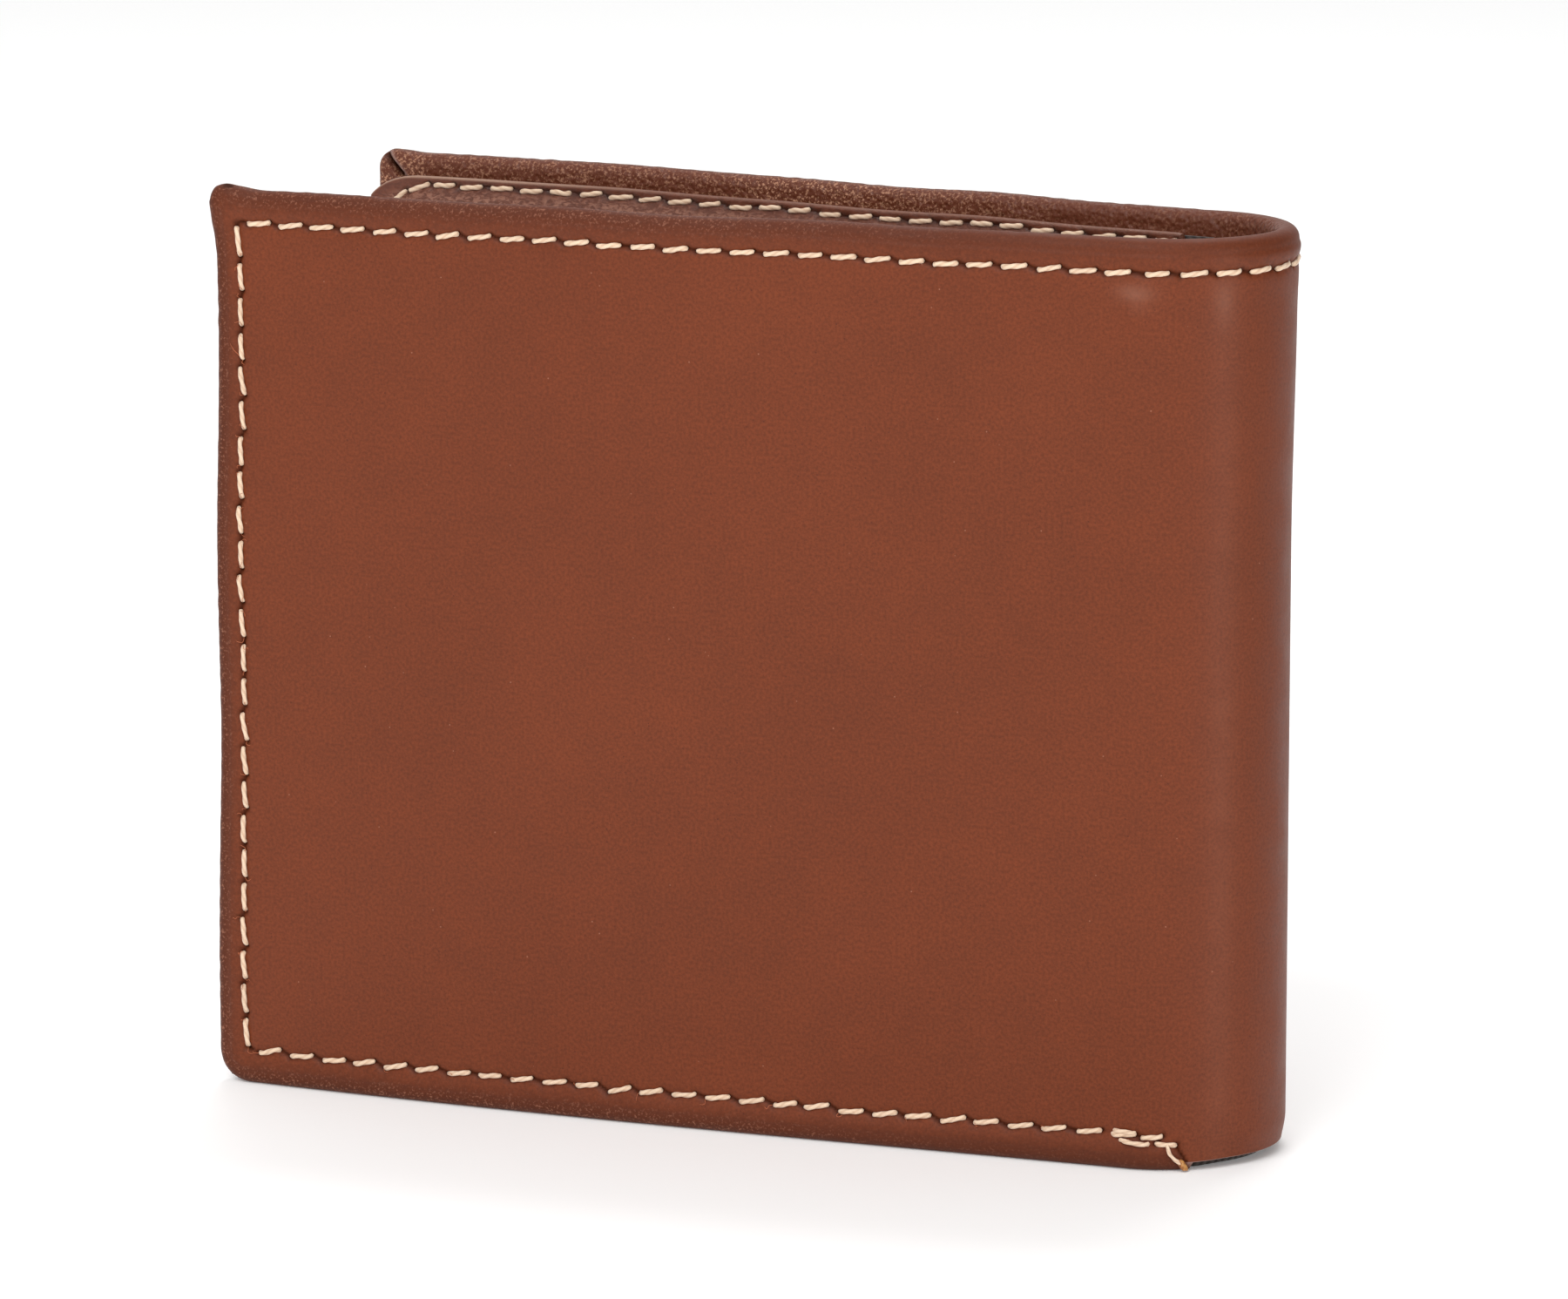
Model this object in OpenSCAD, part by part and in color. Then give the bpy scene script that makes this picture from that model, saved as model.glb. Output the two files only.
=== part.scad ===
// Bifold wallet in brown leather, standing on its lower long edge with its covers a little open.
// The spine stands at +X, the front cover on the -Y side and the back cover on the +Y side.
// Depth means the distance inward from a cover's outer face, reach the distance from the spine.

/* [Wallet] */
// Height of the covers
cover_h = 90; // [80:1:100]
// Length of a cover's flat part, from where the spine starts to bend to the free edge
cover_l = 96.5; // [85:0.5:110]
// Radius of the spine's outer surface
spine_r = 12; // [11:0.5:15]
// Angle between the two covers
open_angle = 7; // [4:1:30]
// Corner radius of a cover's free edge
corner_r = 2.4; // [1.8:0.1:4]

/* [Leather and lining] */
// Thickness of the outer leather
leather_t = 1.1; // [0.8:0.1:1.4]
// Thickness of the stiffening board behind the outer leather
board_t = 0.5; // [0.3:0.1:0.8]
// Thickness of the pared leather turned in as a hem
hem_t = 0.8; // [0.5:0.1:1]
// Width of the turned hem
hem_w = 9; // [6:0.5:12]
// Thickness of the lining fabric
fabric_t = 0.3; // [0.2:0.05:0.5]
// Slack of the note compartment, between its two linings
note_gap = 0.6; // [0.4:0.1:1]
// Height of the spine leather's cut lower edge above the ground
spine_lift = 0.8; // [0.4:0.1:2]

/* [Inner panel and card pockets] */
// Thickness of the inner panel's leather
panel_t = 1; // [0.8:0.1:1.2]
// Drop of the inner panel's top edge below the cover's top edge
panel_drop = 2; // [1.5:0.5:5]
// Radius of the swoop at the inner panel's outer top corner
swoop_r = 8; // [6:0.5:10]
// Thickness of a card pocket's leather
pocket_t = 0.7; // [0.5:0.1:0.9]
// Height of the uppermost pocket's lip
pocket_top = 74; // [66:1:76]
// Step from one pocket's lip to the next
pocket_step = 12; // [10:1:14]

/* [Stitching] */
// Length of one stitch that shows
stitch_l = 2.6; // [1.5:0.1:2.8]
// Pitch of the stitches
stitch_pitch = 3.5; // [3.2:0.1:4]
// Length of one stitch on the round spine
spine_stitch_l = 2.1; // [1.5:0.1:2.4]
// Width of the thread
thread_w = 0.6; // [0.4:0.05:0.7]
// Height that the thread stands proud of the leather
thread_proud = 0.3; // [0.2:0.05:0.4]
// Distance of the top seam below the cover's top edge
top_seam = 3.1; // [3:0.1:6]
// Distance of the free edge's seam from that edge
side_seam = 3; // [1.5:0.1:4]
// Height of the bottom seam above the bottom edge
bottom_seam = 3.5; // [2:0.1:4]

/* [Fold] */
// Clearance between two neighbouring strips of the spine, at its outer surface
strip_gap = 0.4; // [0.3:0.05:0.6]

/* [Hidden] */
$fn = 96;

half_angle = open_angle / 2;
hinge_count = 4;
// Bend of the spine that belongs to each hinge
hinge_bend = (180 - open_angle) / hinge_count;
gap_angle = strip_gap / 2 / spine_r * 180 / PI;

// Depths of the layers, counted inward from a cover's outer face
board_v = leather_t;
hem_v = board_v + board_t;
lining_v = hem_v + hem_t;
divider_v = lining_v + fabric_t + note_gap;
panel_v = divider_v + fabric_t;
pocket_v = panel_v + panel_t;

// Margins that the inner layers keep from the cover's edges and from the spine
edge_margin = 0.6;
spine_margin = 3;
border_w = 3;
lining_drop = 6;
board_margin = leather_t + 0.2;
// Distance of a seam on the inner panel from the panel's own edge
panel_seam = 0.9;
swoop_run = swoop_r * sin(45);
swoop_drop = swoop_r * (1 - cos(45));
panel_top = cover_h - panel_drop;
panel_end = cover_l - edge_margin;
panel_foot = 1;
// Height of the cover lining's lower edge, and the divider lining's inset from the inner panel
lining_foot = 0.2;
turn_in = 0.3;

// The top seam's straight part runs on a little past the start of the bend
seam_run_on = 0.75;
// The bottom seam's end: its straight part stops short of the bend, where its last two stitches
// and the thread's tail lie at these angles
seam_end = 1.75;
tack_angles = [0.5, 14.3];
tack_drop = 0.4;
tail_angle = 18.2;
tail_z = 1.6;
tail_l = 1.8;
tail_tilt = 78;
// Place of the one stitch on the swoop
swoop_stitch_turn = 18;
// Space between an inner stitch and a pocket's lip, and the shortest stitch that is drawn
lip_clearance = 0.1;
shortest_stitch = 0.5;

// The part is centred on its bounding box
x_max = spine_r + thread_proud;
x_min = spine_r * sin(half_angle) - cover_l * cos(half_angle) - lining_v * sin(half_angle);
x_shift = -(x_max + x_min) / 2;

leather_colour = [0.47, 0.25, 0.17];
inner_colour = [0.33, 0.17, 0.11];
fabric_colour = [0.16, 0.15, 0.15];
board_colour = [0.7, 0.62, 0.5];
thread_colour = [0.9, 0.8, 0.66];

// ---- Placing ----

// Puts a cover's own space in place: x runs from the free edge to the spine at 0, y is depth
module on_front()
    translate([x_shift + spine_r * sin(half_angle), -spine_r * cos(half_angle), 0])
        rotate([0, 0, half_angle]) children();

module on_back() mirror([0, 1, 0]) on_front() children();

// A flat layer of an outline drawn in length and height, starting at depth v
module layer(v, t) translate([0, v + t, 0]) rotate([90, 0, 0]) linear_extrude(t) children();

// A bent layer of the spine between two angles, counted from the front cover's end of the bend
module bend(from, to, v, t, z0, z1)
    translate([x_shift, 0, 0]) rotate([0, 0, -90 + half_angle + from])
        rotate_extrude(angle = to - from) translate([spine_r - v - t, z0]) square([t, z1 - z0]);

// A layer of one strip of the spine: strip 1 is next to the front cover, 3 next to the back
module strip_bend(i, v, t, z0, z1)
    bend((i - 0.5) * hinge_bend + gap_angle, (i + 0.5) * hinge_bend - gap_angle, v, t, z0, z1);

// The half strip that belongs to the front cover
module cover_bend(v, t, z0, z1) bend(0, hinge_bend / 2 - gap_angle, v, t, z0, z1);

// ---- Outlines, in length and height ----

// A rectangle from the reach r0 to r1 with the two corners at its far end rounded
module free_end(r0, r1, z0, z1, r) {
    translate([-r1 + r, z0]) square([r1 - r - r0, z1 - z0]);
    translate([-r1, z0 + r]) square([r1 - r0, z1 - z0 - 2 * r]);
    for (z = [z0 + r, z1 - r]) translate([-r1 + r, z]) circle(r);
}

module cover_outline(inset)
    free_end(0, cover_l - inset, inset, cover_h - inset, corner_r - inset);

// The inner panel's outline: its outer top corner swoops down through an eighth of a circle
module panel_outline(inset, r0)
    union() {
        translate([-panel_end + inset, panel_foot + inset])
            square([panel_end - inset - r0, panel_top - swoop_drop - panel_foot - inset]);
        translate([-panel_end + swoop_run, panel_foot + inset])
            square([panel_end - swoop_run - r0, panel_top - panel_foot - 2 * inset]);
        intersection() {
            translate([-panel_end + swoop_run, panel_top - swoop_r]) circle(swoop_r - inset);
            translate([-panel_end + inset, panel_top - swoop_r])
                square([swoop_run - inset, swoop_r]);
        }
    }

// ---- Stitches ----

// One stitch along x, lying on the face y = 0 and standing proud towards -y
module stitch(len) translate([-len / 2, -thread_proud, -thread_w / 2]) cube([len, thread_proud, thread_w]);

// A row of n stitches from the point a to the point b, given as [x, z]
module stitch_row(a, b, n, len) {
    turn = atan2(b[1] - a[1], b[0] - a[0]);
    for (k = [0 : n - 1]) {
        at = a + (b - a) * (k + 0.5) / n;
        translate([at[0], 0, at[1]]) rotate([0, -turn, 0]) stitch(len);
    }
}

// Number of stitches of the usual pitch that fill a length
function stitch_count(len) = round(len / stitch_pitch);

// The cover's seams: along the top, down the free edge and along the bottom
module outer_seams() {
    corner = -cover_l + side_seam;
    top_z = cover_h - top_seam;
    run = cover_l - side_seam;
    stitch_row([corner, top_z], [seam_run_on, top_z], stitch_count(run), stitch_l);
    stitch_row([corner, bottom_seam], [corner, top_z], stitch_count(top_z - bottom_seam), stitch_l);
    stitch_row([corner, bottom_seam], [-seam_end, bottom_seam], stitch_count(run - seam_end), stitch_l);
}

// One stitch on the bend, at an angle from the front cover's end of it
module bend_stitch(angle, z, tilt, len)
    translate([x_shift, 0, 0]) rotate([0, 0, half_angle + angle])
        translate([0, -spine_r, z]) rotate([0, tilt, 0]) stitch(len);

// Stitches of the top seam round the bend, at multiples of a third of a hinge's bend
module spine_seam(steps)
    for (k = steps) bend_stitch(k * hinge_bend / 3, cover_h - top_seam, 0, spine_stitch_l);

// The stitches where the cover's own half strip bends: one of the top seam, and the bottom seam's
// end with the thread's tail
module cover_bend_seam() {
    spine_seam([1]);
    for (k = [0, 1]) bend_stitch(tack_angles[k], bottom_seam - k * tack_drop, 0, spine_stitch_l);
    bend_stitch(tail_angle, tail_z, tail_tilt, tail_l);
}

// The depth of the face that carries the inner seams at a height: the panel or a pocket over it
function face_v(z) = pocket_v + pocket_t * (z < pocket_top - 2 * pocket_step ? 3
    : z < pocket_top - pocket_step ? 2 : z < pocket_top ? 1 : 0);

module inner_stitch(x, z, turn, len)
    translate([x, face_v(z), z]) mirror([0, 1, 0]) rotate([0, turn, 0]) stitch(len);

// The inner seams: along the panel's top and round its swoop, and down both of its sides
module inner_seams() {
    side_x = -cover_l + side_seam;
    spine_x = -spine_margin - panel_seam;
    seam_z = panel_top - panel_seam;
    swoop_x = -panel_end + swoop_run;
    seam_r = swoop_r - panel_seam;
    top_n = stitch_count(spine_x - swoop_x);
    foot_n = stitch_count(spine_x - side_x);
    side_n = stitch_count(seam_z - bottom_seam);
    for (k = [0 : top_n - 1])
        inner_stitch(swoop_x + (k + 0.5) * (spine_x - swoop_x) / top_n, seam_z, 0, stitch_l);
    inner_stitch(swoop_x - seam_r * sin(swoop_stitch_turn),
        seam_z - seam_r * (1 - cos(swoop_stitch_turn)), -swoop_stitch_turn, stitch_l);
    for (k = [0 : foot_n - 1])
        inner_stitch(side_x + (k + 0.5) * (spine_x - side_x) / foot_n, bottom_seam, 0, stitch_l);
    for (k = [0 : side_n - 2]) {
        z = bottom_seam + (k + 0.5) * (seam_z - bottom_seam) / side_n;
        clear = min([for (lip = [0 : 2]) abs(z - pocket_top + lip * pocket_step)]);
        len = min(stitch_l, 2 * (clear - lip_clearance));
        if (len > shortest_stitch) for (x = [side_x, spine_x]) inner_stitch(x, z, 90, len);
    }
}

// ---- One half of the wallet ----

// Outer leather: the face, its rolled rim and the hem turned in along the three edges
module cover_leather() {
    layer(0, leather_t) cover_outline(0);
    layer(board_v, board_t) difference() {
        cover_outline(0);
        free_end(-1, cover_l - leather_t, leather_t, cover_h - leather_t, corner_r - leather_t);
    }
    layer(hem_v, hem_t) difference() {
        cover_outline(0);
        translate([-cover_l + hem_w, hem_w]) square([cover_l, cover_h - 2 * hem_w]);
    }
}

// The cover leather's own part of the spine's bend, with the hem along its top and bottom
module cover_leather_bend() {
    cover_bend(0, leather_t, 0, cover_h);
    for (z = [0, cover_h - leather_t]) cover_bend(board_v, board_t, z, z + leather_t);
    for (z = [0, cover_h - hem_w]) cover_bend(hem_v, hem_t, z, z + hem_w);
}

module cover_board() layer(board_v, board_t) cover_outline(board_margin);

module cover_lining()
    layer(lining_v, fabric_t)
        translate([-cover_l + border_w, lining_foot])
            square([cover_l - border_w, cover_h - lining_drop - lining_foot]);

// Lining on the back of the inner panel, turned in at the free edge and at the bottom, which
// closes the note compartment there
module divider_lining() {
    layer(divider_v, fabric_t) panel_outline(turn_in, 0);
    layer(lining_v + fabric_t, note_gap) {
        translate([-panel_end + turn_in, panel_foot + turn_in])
            square([border_w, panel_top - swoop_r - panel_foot]);
        translate([-panel_end + turn_in, panel_foot + turn_in])
            square([panel_end - turn_in - spine_margin, border_w]);
    }
}

module inner_panel() layer(panel_v, panel_t) panel_outline(0, spine_margin);

// Card pockets lie one over another, each with its lip a step lower than the one behind
module card_pocket(i)
    layer(pocket_v + i * pocket_t, pocket_t)
        translate([-panel_end, panel_foot])
            square([panel_end - spine_margin, pocket_top - i * pocket_step - panel_foot]);

// ---- Nodes ----

module front_cover_leather() color(leather_colour) {
    on_front() cover_leather();
    cover_leather_bend();
}
module front_cover_board() color(board_colour) on_front() cover_board();
module front_cover_lining() color(fabric_colour) {
    on_front() cover_lining();
    cover_bend(lining_v, fabric_t, lining_foot, cover_h - lining_drop);
}
module front_divider_lining() color(fabric_colour) {
    on_front() divider_lining();
    cover_bend(divider_v, fabric_t, panel_foot + turn_in, panel_top - turn_in);
}
module front_inner_panel() color(inner_colour) on_front() inner_panel();
module front_upper_card_pocket() color(leather_colour) on_front() card_pocket(0);
module front_middle_card_pocket() color(leather_colour) on_front() card_pocket(1);
module front_lower_card_pocket() color(leather_colour) on_front() card_pocket(2);
module front_outer_stitching() color(thread_colour) {
    on_front() outer_seams();
    cover_bend_seam();
}
module front_inner_stitching() color(thread_colour) on_front() inner_seams();

module back_cover_leather() mirror([0, 1, 0]) front_cover_leather();
module back_cover_board() mirror([0, 1, 0]) front_cover_board();
module back_cover_lining() mirror([0, 1, 0]) front_cover_lining();
module back_divider_lining() mirror([0, 1, 0]) front_divider_lining();
module back_inner_panel() mirror([0, 1, 0]) front_inner_panel();
module back_upper_card_pocket() mirror([0, 1, 0]) front_upper_card_pocket();
module back_middle_card_pocket() mirror([0, 1, 0]) front_middle_card_pocket();
module back_lower_card_pocket() mirror([0, 1, 0]) front_lower_card_pocket();
module back_outer_stitching() mirror([0, 1, 0]) front_outer_stitching();
module back_inner_stitching() mirror([0, 1, 0]) front_inner_stitching();

// Outer leather of one strip of the spine, with the hem along its top
module spine_leather(i) color(leather_colour) {
    strip_bend(i, 0, leather_t, spine_lift, cover_h);
    strip_bend(i, board_v, board_t, cover_h - leather_t, cover_h);
    strip_bend(i, hem_v, hem_t, cover_h - hem_w, cover_h);
}
module spine_lining(i) color(fabric_colour)
    strip_bend(i, lining_v, fabric_t, lining_foot, cover_h - lining_drop);
// Lining that joins the two inner panels across the spine
module spine_divider(i) color(fabric_colour)
    strip_bend(i, divider_v, fabric_t, panel_foot + turn_in, panel_top - turn_in);
module spine_stitching(i) color(thread_colour) spine_seam([3 * i - 1, 3 * i, 3 * i + 1]);

front_cover_leather();
front_cover_board();
front_cover_lining();
front_divider_lining();
front_inner_panel();
front_upper_card_pocket();
front_middle_card_pocket();
front_lower_card_pocket();
front_outer_stitching();
front_inner_stitching();
spine_leather(1);  // spine_front_leather
spine_leather(2);  // spine_middle_leather
spine_leather(3);  // spine_back_leather
spine_lining(1);  // spine_front_lining
spine_lining(2);  // spine_middle_lining
spine_lining(3);  // spine_back_lining
spine_divider(1);  // spine_front_divider
spine_divider(2);  // spine_middle_divider
spine_divider(3);  // spine_back_divider
spine_stitching(1);  // spine_front_stitching
spine_stitching(2);  // spine_middle_stitching
spine_stitching(3);  // spine_back_stitching
back_cover_leather();
back_cover_board();
back_cover_lining();
back_divider_lining();
back_inner_panel();
back_upper_card_pocket();
back_middle_card_pocket();
back_lower_card_pocket();
back_outer_stitching();
back_inner_stitching();
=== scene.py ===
import math
import bmesh
import bpy
import numpy as np
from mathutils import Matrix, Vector


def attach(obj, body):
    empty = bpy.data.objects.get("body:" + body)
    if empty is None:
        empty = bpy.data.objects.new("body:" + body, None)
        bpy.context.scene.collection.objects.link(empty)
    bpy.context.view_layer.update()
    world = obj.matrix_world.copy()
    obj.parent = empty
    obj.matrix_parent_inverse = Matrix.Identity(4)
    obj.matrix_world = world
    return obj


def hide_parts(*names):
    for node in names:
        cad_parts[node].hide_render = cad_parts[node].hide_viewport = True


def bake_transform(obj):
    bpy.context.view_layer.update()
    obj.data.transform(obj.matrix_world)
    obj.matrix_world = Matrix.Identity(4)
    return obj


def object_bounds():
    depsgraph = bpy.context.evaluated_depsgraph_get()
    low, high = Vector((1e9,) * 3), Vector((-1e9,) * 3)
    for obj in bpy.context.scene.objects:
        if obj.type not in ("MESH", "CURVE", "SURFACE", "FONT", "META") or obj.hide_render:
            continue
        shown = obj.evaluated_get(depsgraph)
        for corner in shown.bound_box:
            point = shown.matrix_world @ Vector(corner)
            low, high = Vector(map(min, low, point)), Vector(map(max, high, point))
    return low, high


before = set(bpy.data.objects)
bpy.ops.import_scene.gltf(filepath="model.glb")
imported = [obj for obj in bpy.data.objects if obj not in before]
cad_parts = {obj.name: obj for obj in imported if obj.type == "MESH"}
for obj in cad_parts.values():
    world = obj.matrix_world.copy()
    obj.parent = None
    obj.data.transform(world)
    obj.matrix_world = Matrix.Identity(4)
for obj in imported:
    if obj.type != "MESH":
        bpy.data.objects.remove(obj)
cad_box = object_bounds()

# A brown leather bifold wallet, standing on its lower long edge with its covers a little open.
# Lengths are in millimetres until a mesh is made. A point of the wallet is given as it would lie
# on the unrolled leather: run is the distance along it, positive along a cover and negative round
# the bend, depth is counted inward from the outer face, and height goes up.

MM = 0.001
RNG = np.random.default_rng(7)

# ---- Sizes ----

# The covers, and the bend that joins them
COVER_H = (cad_box[1].z - cad_box[0].z) / MM
COVER_L = 96.5
SPINE_R = 12.0
HALF_ANGLE = math.radians(3.5)
BEND = math.pi - 2 * HALF_ANGLE
HINGES = 4
ARC = SPINE_R * BEND
STRIP = ARC / HINGES
THREAD_PROUD = 0.3
X_SHIFT = cad_box[1].x / MM - SPINE_R - THREAD_PROUD

# How far the covers bow outward, their free corners flare and their free edges spread at the foot
BOW = 1.2
FLARE = {"front": 0.75, "back": 0.35}
FOOT_SPREAD = 0.55

# Thicknesses, the hem, and the depths at which the inner layers start
LEATHER = 1.1
BOARD = 0.5
COVER_T = 2.4
HEM_W = 9.0
LOWER_CORNER_R = 3.2
UPPER_CORNER_R = 2.3
RIM_R = COVER_T / 2
FABRIC = 0.3
LINING_V = COVER_T
DIVIDER_V = 3.3
PANEL_V = 3.6
POCKET_V = 4.6
POCKET_T = 0.7
SPINE_LIFT = 0.8
CUT_EDGE = 0.15

# Outlines of the inner panel, the pockets and the note compartment's lining
PANEL_END = COVER_L - 0.6
PANEL_START = 3.0
PANEL_FOOT = 1.0
PANEL_TOP = COVER_H - 2.0
SWOOP_R = 8.0
SWOOP_RUN = SWOOP_R * math.sin(math.radians(45))
POCKET_TOPS = [74.0, 62.0, 50.0]
LINING_FOOT = 0.2
LINING_TOP = COVER_H - 6.0

# Seams and thread
TOP_SEAM = COVER_H - 3.2
SIDE_SEAM = COVER_L - 3.0
BOTTOM_SEAM = 3.5
PANEL_SEAM = 0.8
THREAD_R = 0.27
STITCH_L = 2.52
THREAD_SIDES = 12
STITCH_RINGS = 16
TAIL_RINGS = 22
SPINE_PITCH = 3.62
SPINE_FIRST = 2.72

# How deep and wide the leather is pulled in under a stitch, at a needle hole and between two
# stitches, how dark and wide the line between two stitches is, and how far all this reaches
UNDER_PULL, UNDER_W = 0.13, 0.5
HOLE_PULL, HOLE_R = 0.42, 0.30
GAP_PULL, GAP_W = 0.30, 0.26
GAP_TONE, GAP_TONE_W = 0.75, 0.24
PULL_REACH = 3.4

SIDES = ("front", "back")
STRIP_BODIES = ("front_cover", "spine_front", "spine_middle", "spine_back", "back_cover")


def smooth(t):
    t = np.clip(t, 0.0, 1.0)
    return t * t * (3 - 2 * t)


def bell(distance, width):
    return np.exp(-(distance / width) ** 2)


def travelled(line):
    """The distance along a line of points, at each of them."""
    return np.concatenate([[0], np.cumsum(np.linalg.norm(np.diff(line, axis=0), axis=1))])


def ripples(seed, wavelength, count=7):
    """A smooth irregular wave of about unit height over a plane, as a function of two lengths."""
    rng = np.random.default_rng(seed)
    waves = []
    for _ in range(count):
        angle = rng.uniform(0, math.pi)
        number = 2 * math.pi / (wavelength * rng.uniform(0.6, 1.6))
        waves.append((math.cos(angle) * number, math.sin(angle) * number, rng.uniform(0, 2 * math.pi)))

    def wave(a, b):
        return sum(np.sin(p * a + q * b + phase) for p, q, phase in waves) / math.sqrt(count)

    return wave


# ---- From the unrolled leather to the standing wallet ----

rim_wave = ripples(15, 1.7, 9)
edge_wave = {"front": ripples(11, 34), "back": ripples(12, 30)}
side_wave = {"front": ripples(13, 40), "back": ripples(14, 36)}


def place(side, run, depth, height):
    """Points of the wallet's space, one row each, for a run, depth and height."""
    run, depth, height = np.broadcast_arrays(
        np.asarray(run, float), np.asarray(depth, float), np.asarray(height, float)
    )
    reach = np.maximum(run, 0.0)
    turn = np.maximum(-run, 0.0) / SPINE_R
    share = np.clip(reach / COVER_L, 0.0, 1.0)
    bow = BOW * np.sin(math.pi * share ** 1.3)
    # The outline isn't quite straight
    upper = (height / COVER_H) ** 6
    lower = (1 - height / COVER_H) ** 6
    lift = 0.10 * edge_wave[side](reach, 0 * reach) * smooth(reach / 20) * upper
    lift = lift + 0.02 * rim_wave(reach, 0 * reach) * smooth((height - COVER_H + 2) / 1.5)
    far = smooth((reach - COVER_L + 12) / 12)
    outward = 0.12 * side_wave[side](height, 0 * height) * far
    outward = outward + 0.02 * rim_wave(height, 0 * height) * smooth((reach - COVER_L + 2) / 1.5)
    # The free top corner flares up and out a little, and the free edge spreads towards its foot
    flare = smooth((reach - COVER_L + 6) / 6) * smooth((height - COVER_H + 7) / 7)
    foot = smooth((reach - COVER_L + 7) / 7) * smooth((40 - height) / 40)
    lift = lift + FLARE[side] * flare
    outward = outward + FLARE[side] * flare + FOOT_SPREAD * foot
    bow = bow + 0.25 * flare - 0.15 * lower * far
    # Round the bend the single leather sinks in below the doubled rim, and its lower edge curls in
    bent = smooth(-run / 9) * smooth((run + ARC) / 9)
    sunk = 0.12 * smooth((COVER_H - 3.6 - height) / 4) + 0.36 * smooth((COVER_H - 5 - height) / 26)
    curl = smooth((-run - 6) / 6) * smooth((run + ARC - 6) / 6) * smooth((3.5 - height) / 3.5)
    lift = lift + 0.12 * curl
    angle = -math.pi / 2 + HALF_ANGLE + turn
    radius = SPINE_R - depth + bow - sunk * bent - 0.45 * curl
    along = reach + outward
    x = X_SHIFT + radius * np.cos(angle) - along * math.cos(HALF_ANGLE)
    y = radius * np.sin(angle) - along * math.sin(HALF_ANGLE)
    if side == "back":
        y = -y
    return np.stack([x, y, height + lift], -1).reshape(-1, 3)


def bend_point(turn, depth, height):
    """One point on the bend, in metres, at an angle from the front cover's end of it."""
    return [float(c) * MM for c in place("front", -turn * SPINE_R, depth, height)[0]]


# ---- Meshes ----

def numbered(rows, columns, start=0):
    """The numbers of a grid of points that are stored row by row."""
    return start + np.arange(rows * columns).reshape(rows, columns)


def closed(index, axis=1):
    """A grid of point numbers, with its first column or row repeated as its last."""
    return np.concatenate([index, index.take([0], axis)], axis)


def quads(index, flip=False):
    """The faces of a grid of point numbers."""
    cells = np.stack([index[:-1, :-1], index[:-1, 1:], index[1:, 1:], index[1:, :-1]], -1)
    return (cells[..., ::-1] if flip else cells).reshape(-1, 4).tolist()


def tube_faces(rings, sides, start=0):
    """The faces of a tube whose points are stored ring by ring, with its two ends."""
    index = numbered(rings, sides, start)
    return quads(closed(index)) + [index[0].tolist(), index[-1].tolist()]


def in_scene(name, data):
    obj = bpy.data.objects.new(name, data)
    bpy.context.scene.collection.objects.link(obj)
    return obj


def clean(mesh):
    """Drops loose points, joins coinciding ones and turns all faces outward."""
    bm = bmesh.new()
    bm.from_mesh(mesh)
    loose = [point for point in bm.verts if not point.link_faces]
    bmesh.ops.delete(bm, geom=loose, context="VERTS")
    bmesh.ops.remove_doubles(bm, verts=bm.verts, dist=2e-6)
    bmesh.ops.recalc_face_normals(bm, faces=bm.faces)
    bm.to_mesh(mesh)
    bm.free()


def piece_at(name, side, run, depth, height, faces, material, masks=None, sharp=38):
    """A smooth-shaded object from the unrolled places of its points, with a vector of those places
    and masks for its material."""
    mesh = bpy.data.meshes.new(name)
    mesh.from_pydata((place(side, run, depth, height) * MM).tolist(), [], faces)
    run, depth, height = np.broadcast_arrays(run, depth, height)
    along = run if side == "front" else -ARC - 40 - run
    layers = {"lay": np.stack([along, height, depth], -1), **(masks or {})}
    for key, values in layers.items():
        kind, field = ("FLOAT_VECTOR", "vector") if key == "lay" else ("FLOAT", "value")
        layer = mesh.attributes.new(key, kind, "POINT")
        layer.data.foreach_set(field, np.asarray(values, np.float32).ravel())
    clean(mesh)
    mesh.shade_smooth()
    if sharp:
        mesh.set_sharp_from_angle(angle=math.radians(sharp))
    mesh.materials.append(material)
    obj = in_scene(name, mesh)
    return obj


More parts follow.
